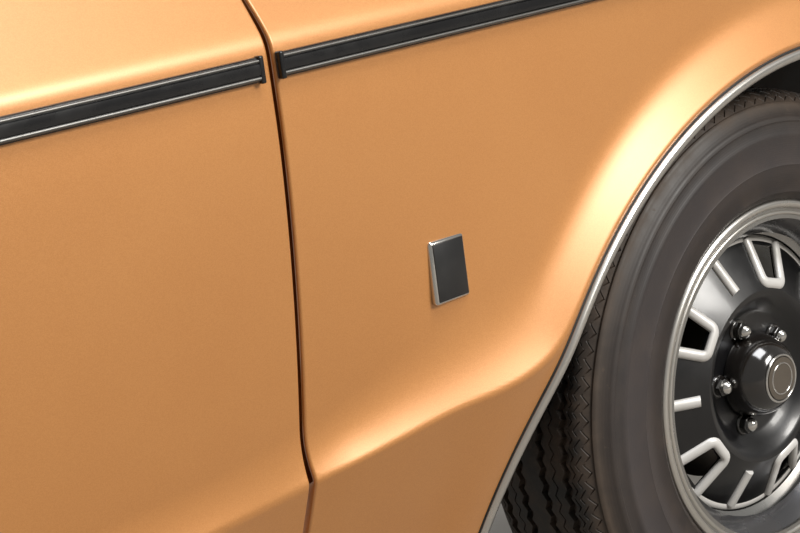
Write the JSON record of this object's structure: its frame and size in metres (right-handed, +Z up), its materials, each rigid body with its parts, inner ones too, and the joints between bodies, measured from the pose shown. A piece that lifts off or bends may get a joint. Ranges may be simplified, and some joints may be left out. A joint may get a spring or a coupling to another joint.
{
  "type": "front corner of a sedan",
  "caption": "Front corner of a sedan: wing with flared arch, hinged front door, steered and turning road wheel on a strut, and the rail and inner panels that carry them.",
  "frame": {"origin": "middle of the bolted flange at the rear end of the front rail, level with the wheel centre", "axes": "+X to the front of the car, +Y inboard, +Z up; the outside of the car is on the -Y side"},
  "size_m": [2.4675, 0.536, 1.311],
  "materials": {
    "body_paint": "metallic light-brown gold body paint",
    "underbody": "black underbody coating",
    "bright_trim": "polished bright trim",
    "black_insert": "black moulded strip",
    "plaque": "black plaque with a bright edge",
    "wheel_silver": "silver wheel paint",
    "wheel_disc": "black wheel paint with silver frames",
    "tyre_rubber": "dusty black rubber",
    "machined_iron": "turned iron",
    "steel": "bright steel",
    "black_parts": "black enamel",
    "mount_rubber": "black rubber bonded to steel",
    "clear_glass": "toughened side glass",
    "trim_vinyl": "dark brown grained vinyl"
  },
  "bodies": {
    "shell": {"front_rail": "underbody", "bulkhead_panel": "body_paint", "hinge_pillar": "body_paint", "inner_wing": "body_paint", "strut_tower": "body_paint", "strut_top_mount": "mount_rubber", "arm_bracket": "underbody", "lower_arm": "underbody", "front_wing": "body_paint", "arch_trim": "bright_trim", "wing_moulding": "bright_trim", "wing_moulding_insert": "black_insert", "wing_plaque": "plaque", "wing_stay": "underbody", "hinge_body_lower": "body_paint", "hinge_body_upper": "body_paint", "hinge_pin_lower": "steel", "hinge_pin_upper": "steel"},
    "upright": {"knuckle": "machined_iron", "ball_stud": "steel", "strut_tube": "black_parts", "strut_rod": "steel", "coil_spring": "black_parts", "brake_caliper": "machined_iron", "dust_shield": "steel"},
    "wheel": {"hub": "machined_iron", "brake_disc": "machined_iron", "rim": "wheel_silver", "rim_trim_ring": "bright_trim", "wheel_disc": "wheel_disc", "wheel_nuts": "bright_trim", "centre_cap": "bright_trim", "tyre": "tyre_rubber"},
    "front_door": {"door_skin": "body_paint", "door_inner_panel": "body_paint", "door_frame": "body_paint", "door_glass": "clear_glass", "door_card": "trim_vinyl", "door_armrest": "trim_vinyl", "window_winder": "bright_trim", "door_release": "bright_trim", "door_handle": "bright_trim", "door_moulding": "bright_trim", "door_moulding_insert": "black_insert", "sill_strip": "bright_trim", "hinge_door_lower": "body_paint", "hinge_door_upper": "body_paint"}
  },
  "joints": [
    {"name": "steer", "type": "hinge", "parent": "shell", "child": "upright", "pos_m": [0.668, -0.222, -0.11], "axis": [-0.0129, 0.1681, 0.9857], "range_deg": [-35, 35]},
    {"name": "wheel_spin", "type": "hinge", "parent": "upright", "child": "wheel", "pos_m": [0.668, -0.3, 0], "axis": [0, 1, 0], "continuous": true},
    {"name": "door_hinge", "type": "hinge", "parent": "shell", "child": "front_door", "pos_m": [-0.055, -0.372, 0.28], "axis": [0, 0, 1], "range_deg": [0, 65]}
  ]
}
